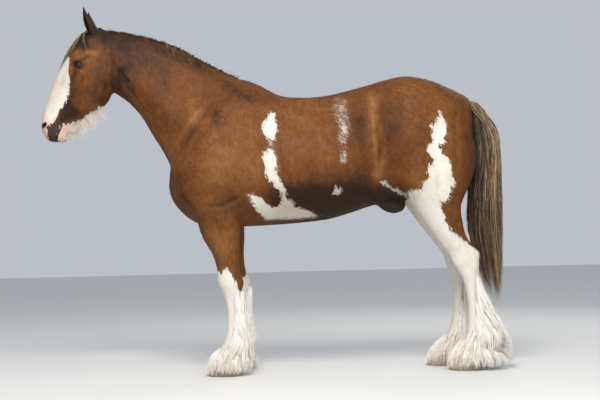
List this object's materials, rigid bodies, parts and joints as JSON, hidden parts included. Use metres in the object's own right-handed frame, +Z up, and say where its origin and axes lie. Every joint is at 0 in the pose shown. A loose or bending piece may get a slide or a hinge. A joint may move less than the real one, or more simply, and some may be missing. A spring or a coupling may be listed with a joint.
{
  "type": "clydesdale horse, life-size still model",
  "caption": "Life-size still model of a heavy draught horse standing square, with a blaze, splashed white markings, a long tail and thick feather on the lower legs.",
  "frame": {"origin": "middle of the horse's box in plan, at the level of the hoof soles", "axes": "the horse faces -X with its left side towards -Y, and +Z is up"},
  "size_m": [2.7758, 0.7298, 2.1921],
  "materials": {
    "coat": "short glossy chestnut coat with splashed white marks",
    "feather": "long silky white leg hair",
    "long_hair": "long coarse tail and mane hair, dark brown with fair streaks",
    "hoof": "pale horn with growth rings",
    "eye": "wet dark eye"
  },
  "bodies": {
    "root": {"torso": "coat", "neck": "coat", "head": "coat", "ear_left": "coat", "ear_right": "coat", "eye_left": "eye", "eye_right": "eye", "foreleg_left_upper": "coat", "foreleg_right_upper": "coat", "hindleg_left_upper": "coat", "hindleg_right_upper": "coat", "foreleg_left_lower": "feather", "foreleg_right_lower": "feather", "hindleg_left_lower": "feather", "hindleg_right_lower": "feather", "hoof_fore_left": "hoof", "hoof_fore_right": "hoof", "hoof_hind_left": "hoof", "hoof_hind_right": "hoof", "tail": "long_hair"}
  },
  "joints": []
}
